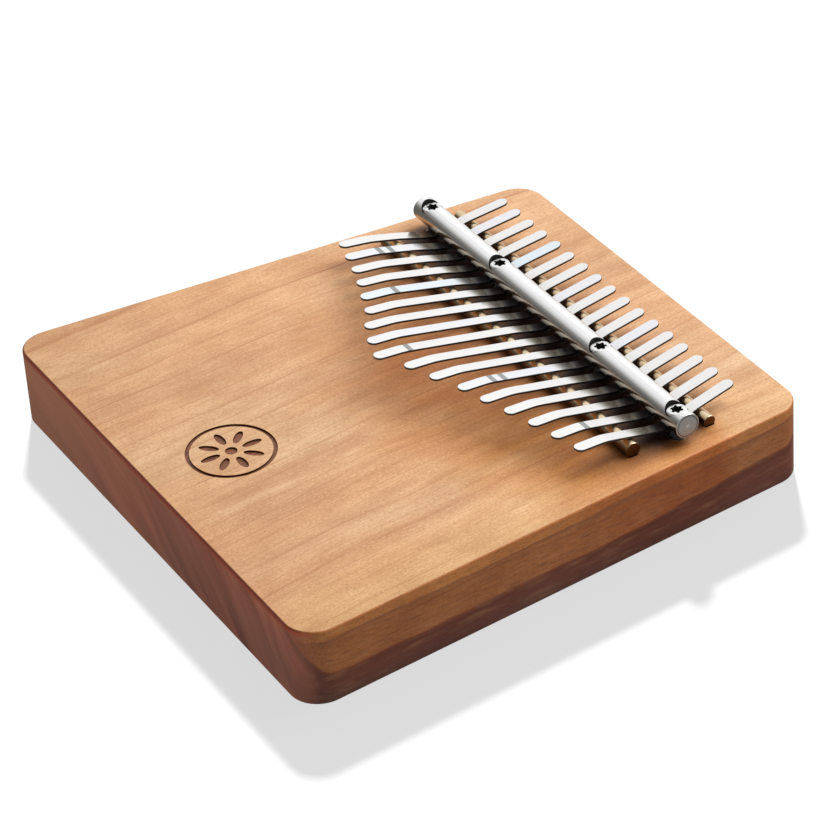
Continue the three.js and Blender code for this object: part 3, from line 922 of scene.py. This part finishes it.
def tine_height(index, y):
    """Height of a tine's middle surface at y, as in the CAD model."""
    if y > REAR_CONTACT_Y:
        return REAR_CONTACT_Z + math.tan(REAR_RISE) * (y - REAR_CONTACT_Y)
    if y > BAR_Y:
        rise = REAR_CONTACT_Z - UNDER_BAR_Z
        return UNDER_BAR_Z + spring_rise(y - BAR_Y, REAR_CONTACT_Y - BAR_Y, rise, math.tan(REAR_RISE))
    contact_y, contact_z = front_contact(index)
    slope = math.tan(front_rise(index))
    if y > contact_y:
        return UNDER_BAR_Z + spring_rise(BAR_Y - y, BAR_Y - contact_y, contact_z - UNDER_BAR_Z, slope)
    straight = contact_z + slope * (contact_y - y)
    before_bend = y - (TINE_TIP_Y[index] + BEND_FROM_TIP)
    into_bend = min(max(BEND_HALF - before_bend, 0), 2 * BEND_HALF)
    past_bend = max(-BEND_HALF - before_bend, 0)
    turn = slope - math.tan(TIP_RISE)
    return straight - turn * (into_bend ** 2 / (4 * BEND_HALF) + past_bend)


def tine_section(index, y, half_width):
    """The blade's cross-section at y: a flat strip with rounded edges, eight points."""
    fan = (index - MIDDLE) * TINE_PITCH / (FAN_APEX_Y - BAR_Y)

    def at(v):
        return Vector((fan * (FAN_APEX_Y - v), v, tine_height(index, v)))

    along = (at(y + 0.05) - at(y - 0.05)).normalized()
    across = Vector((along.y, -along.x, 0)).normalized()
    up = across.cross(along)
    edge = min(TINE_EDGE_R, half_width * 0.6)
    half_thick = TINE_THICK / 2
    outline = [(-half_width + edge, -half_thick), (half_width - edge, -half_thick),
               (half_width, -half_thick + edge), (half_width, half_thick - edge),
               (half_width - edge, half_thick), (-half_width + edge, half_thick),
               (-half_width, half_thick - edge), (-half_width, -half_thick + edge)]
    return [at(y) + across * side + up * level for side, level in outline]


def tine_stations(index):
    """Places along Y with the half width there, from the rear tip to the plucked tip."""
    half = TINE_WIDTH / 2
    tip = TINE_TIP_Y[index]
    round_steps = 9
    stations = []
    for step in range(1, round_steps + 1):
        t = math.pi / 2 * step / round_steps
        stations.append((REAR_TIP_Y - half * (1 - math.cos(t)), half * math.sin(t)))
    start, stop = REAR_TIP_Y - half, tip + half
    count = int((start - stop) / 0.9)
    stations += [(start + (stop - start) * i / count, half) for i in range(1, count)]
    for step in range(round_steps, 0, -1):
        t = math.pi / 2 * step / round_steps
        stations.append((tip + half * (1 - math.cos(t)), half * math.sin(t)))
    return stations


# A few tines are bluer than the rest. They are counted from 0 here.
TINTS = {1: (0.86, 0.855, 0.885), 4: (0.80, 0.87, 0.93), 7: (0.86, 0.855, 0.885), 11: (0.85, 0.855, 0.885)}
PLAIN_TINT = (0.87, 0.86, 0.845)


def build_tines(edge_material):
    for index, tip in enumerate(TINE_TIP_Y):
        number = f"{index + 1:02d}"
        sections = [tine_section(index, y, width) for y, width in tine_stations(index)]
        tine = new_object(f"tine_{number}", *skin(sections))
        tidy_normals(tine)
        bands = [tip + away for away in BANDS.get(index + 1, [])]
        material = tine_steel(f"tine_steel_{number}", TINTS.get(index, PLAIN_TINT), bands)
        tine.data.materials.append(material)
        tine.data.materials.append(edge_material)
        for face in tine.data.polygons:
            face.material_index = 1 if abs(face.normal.z) < 0.85 else 0
        shade(tine, 50)
        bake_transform(tine)
        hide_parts(f"tine_{number}_clamped", f"tine_{number}_tongue")


# ---- floor, light, camera --------------------------------------------------------------------------


def build_floor():
    half = FLOOR_HALF_SIZE
    corners = [(-half, -half, 0), (half, -half, 0), (half, half, 0), (-half, half, 0)]
    floor = new_object("floor", corners, [(0, 1, 2, 3)])
    floor.location.z = -FLOOR_DROP * MM
    n = Nodes("floor_paper")
    floor.data.materials.append(n.set(Base_Color=(FLOOR_TONE, FLOOR_TONE, FLOOR_TONE, 1), Roughness=0.9,
                                      Specular_IOR_Level=0.0, Emission_Color=(1, 1, 1, 1),
                                      Emission_Strength=FLOOR_GLOW))
    floor.visible_diffuse = False
    floor.visible_glossy = False


def direction(azimuth, elevation):
    """Towards a place at that azimuth and elevation: azimuth 0 is -Y and 90 is +X."""
    a, e = math.radians(azimuth), math.radians(elevation)
    return Vector((math.sin(a) * math.cos(e), -math.cos(a) * math.cos(e), math.sin(e)))


def panel(name, azimuth, elevation, distance, size, power):
    """A soft square light aimed at the object."""
    data = bpy.data.lights.new(name, "AREA")
    data.shape = "RECTANGLE"
    data.size = size
    data.size_y = size
    data.energy = power
    light = bpy.data.objects.new(name, data)
    toward = direction(azimuth, elevation)
    light.location = toward * distance
    light.rotation_euler = (-toward).to_track_quat("-Z", "Y").to_euler()
    bpy.context.scene.collection.objects.link(light)
    return light


def facing(n, azimuth, elevation):
    """The cosine between the direction looked in and the given one."""
    coordinates = n.add("ShaderNodeTexCoord")
    node = n.add("ShaderNodeVectorMath", operation="DOT_PRODUCT")
    n.feed(node.inputs[0], coordinates.outputs["Generated"])
    node.inputs[1].default_value = direction(azimuth, elevation)
    return node.outputs["Value"]


def build_world():
    """A studio with a bright screen behind, darker sides, a dim front and a patch of light on the right."""
    world = bpy.data.worlds.new("studio")
    bpy.context.scene.world = world
    world.use_nodes = True
    n = Tree(world.node_tree)
    to_screen = facing(n, SCREEN_AZIMUTH, SCREEN_ELEVATION)
    light = n.ramp(n.remap(to_screen, -1, 1), [(at, (grey,) * 3) for at, grey in SCREEN])
    fill = n.remap(facing(n, FILL_AZIMUTH, FILL_ELEVATION), FILL_EDGE, 1.0, 0.0, FILL_LIGHT)
    light = n.mix(1.0, light, n.vector(fill, fill, fill), "ADD")
    n.feed(n.tree.nodes["Background"].inputs[0], light)


def build_lights():
    panel("softbox", SOFTBOX_AZIMUTH, SOFTBOX_ELEVATION, SOFTBOX_DISTANCE, SOFTBOX_SIZE, SOFTBOX_POWER)
    key = panel("key", KEY_AZIMUTH, KEY_ELEVATION, KEY_DISTANCE, KEY_SIZE, KEY_POWER)
    only_floor = bpy.data.collections.new("only_floor")
    only_floor.objects.link(bpy.data.objects["floor"])
    key.light_linking.receiver_collection = only_floor


def build_camera():
    data = bpy.data.cameras.new("camera")
    data.lens = VIEW_LENS
    data.sensor_width = 36
    data.clip_start, data.clip_end = 0.01, 100
    camera = bpy.data.objects.new("camera", data)
    back = direction(VIEW_AZIMUTH, VIEW_ELEVATION)
    camera.location = Vector(VIEW_TARGET) + back * VIEW_DISTANCE
    aim = (-back).to_track_quat("-Z", "Y").to_matrix().to_4x4()
    roll = Euler((0, 0, math.radians(VIEW_ROLL))).to_matrix().to_4x4()
    camera.rotation_euler = (aim @ roll).to_euler()
    bpy.context.scene.collection.objects.link(camera)
    bpy.context.scene.camera = camera


# ---- scene -----------------------------------------------------------------------------------------

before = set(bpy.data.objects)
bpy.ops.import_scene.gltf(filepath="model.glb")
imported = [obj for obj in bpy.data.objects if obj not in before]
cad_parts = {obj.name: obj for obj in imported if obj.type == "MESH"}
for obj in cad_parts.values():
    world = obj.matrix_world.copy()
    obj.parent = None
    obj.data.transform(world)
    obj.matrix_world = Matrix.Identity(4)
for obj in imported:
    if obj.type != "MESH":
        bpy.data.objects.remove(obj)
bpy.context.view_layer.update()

build_board()
build_rods(brass("brass", 0.0))
recess_and_bore_shade = recess_black_and_bore_shade()
build_bar(recess_and_bore_shade)
edge_material = tine_edge_steel()
build_screws(screw_steel(), recess_and_bore_shade, edge_material)
# The inserts are darkened all over: painted shade, for they sit in the bar's shadow.
build_inserts(brass("insert_brass_painted_shade", 0.85))
build_tines(edge_material)

build_floor()
build_world()
build_lights()
build_camera()
bpy.context.scene.view_settings.view_transform = "Standard"
